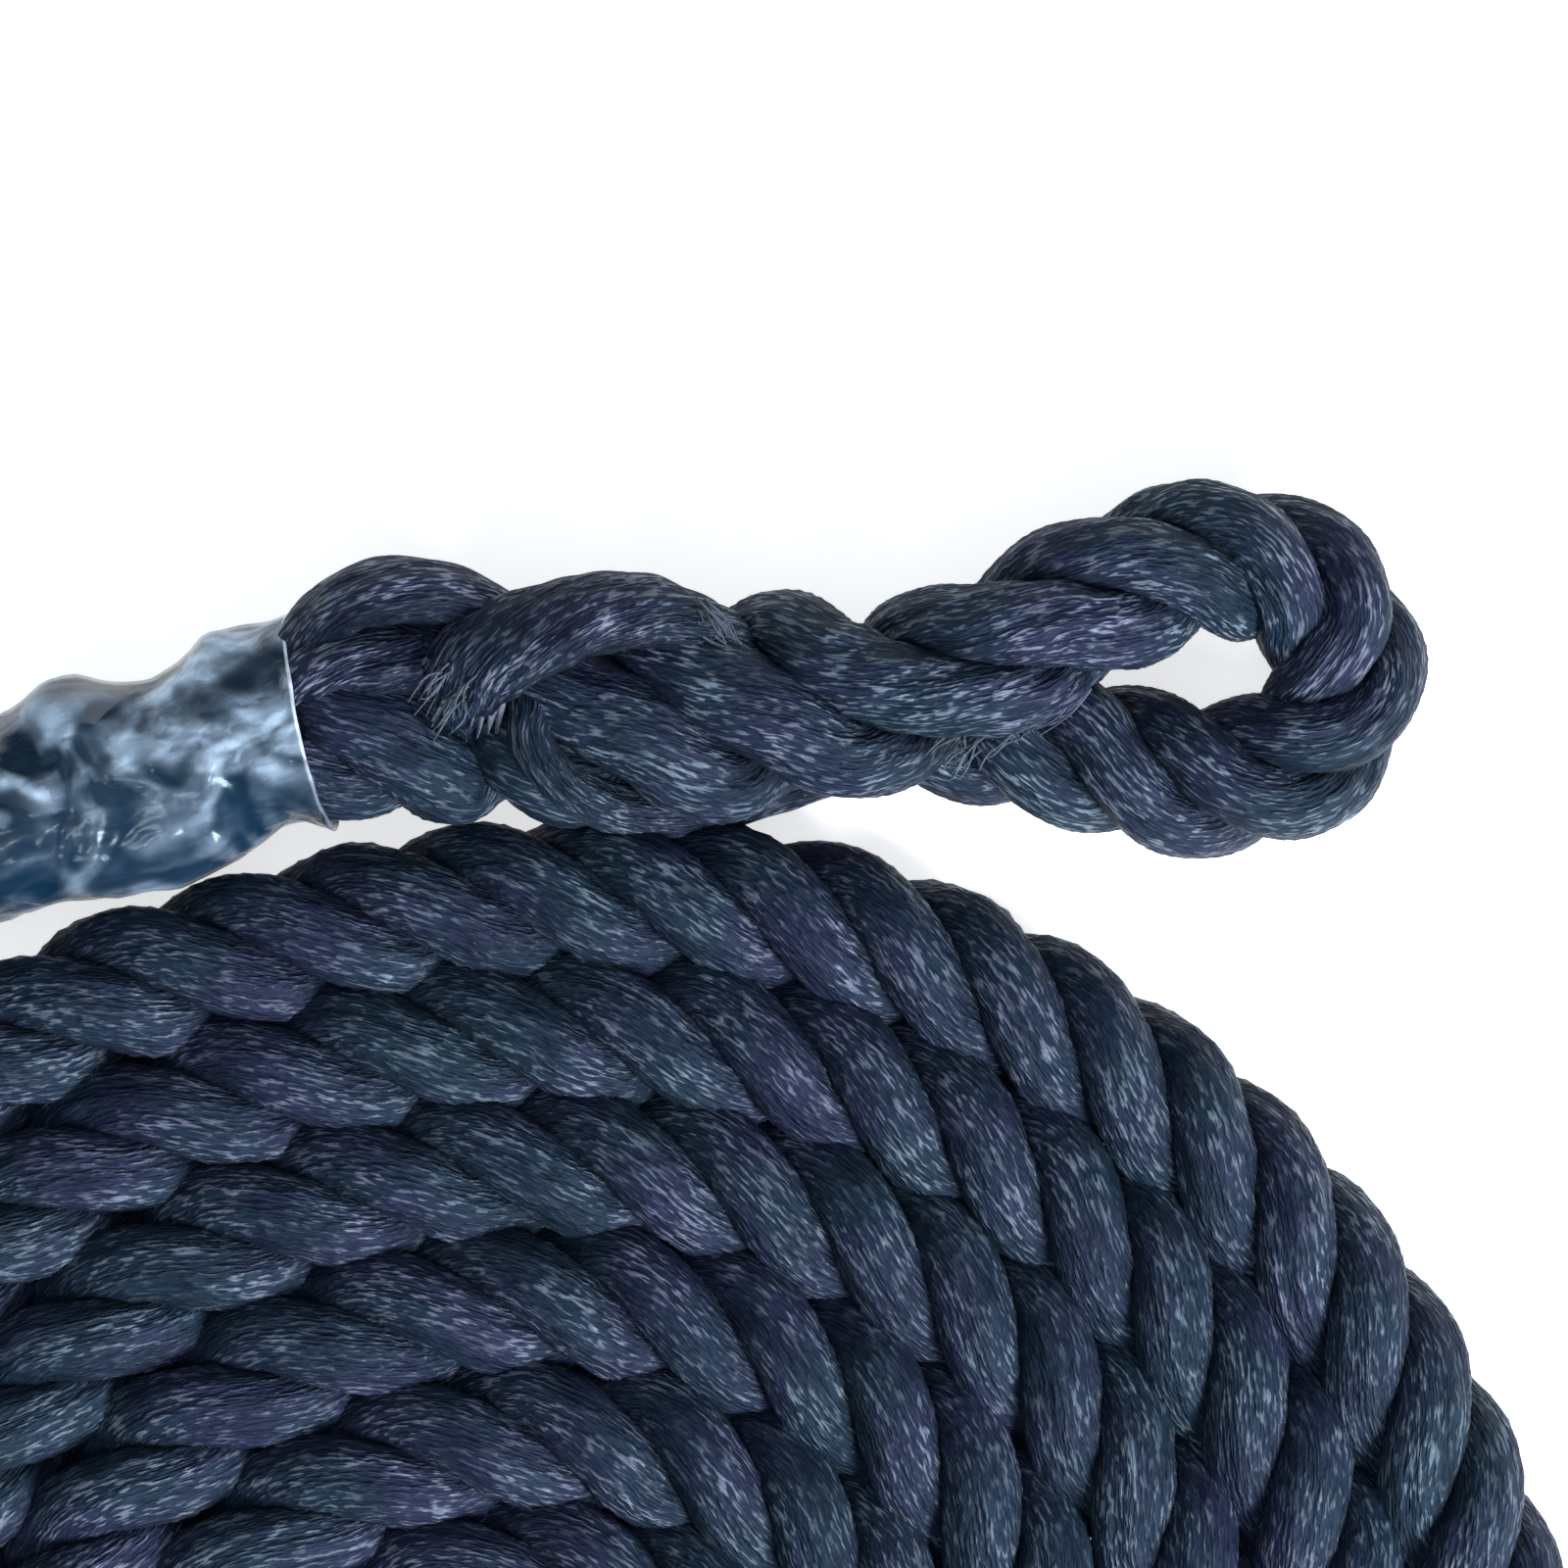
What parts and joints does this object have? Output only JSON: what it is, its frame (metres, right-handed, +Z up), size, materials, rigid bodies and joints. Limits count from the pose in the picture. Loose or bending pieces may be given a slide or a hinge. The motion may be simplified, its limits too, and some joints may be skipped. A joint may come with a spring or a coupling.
{
  "type": "coiled dock line",
  "caption": "Three-strand dock line laid down as a flat spiral, with a spliced eye at its outer end and a clear shrink sleeve over the end of the splice",
  "frame": {"origin": "The middle of the footprint, on the surface that the line lies on.", "axes": "+Z is up, away from the surface. +Y points from the coil towards the splice, which crosses the far side of the coil. +X points along the splice towards the eye."},
  "size_m": [0.2361, 0.2609, 0.0243],
  "materials": {
    "rope": "navy-black laid nylon with a silky sheen",
    "strand": "unlaid strand of the same navy-black nylon",
    "clear_film": "clear glossy shrink film",
    "melted_end": "melted and hardened nylon"
  },
  "bodies": {
    "root": {"coil": "rope", "outer_stretch": "rope", "standing_part": "rope", "eye_loop": "rope", "tucked_strand_1": "strand", "tucked_strand_2": "strand", "tucked_strand_3": "strand", "clear_sleeve": "clear_film", "bitter_end": "rope", "end_sleeve": "clear_film", "sealed_tip": "melted_end"}
  },
  "joints": []
}
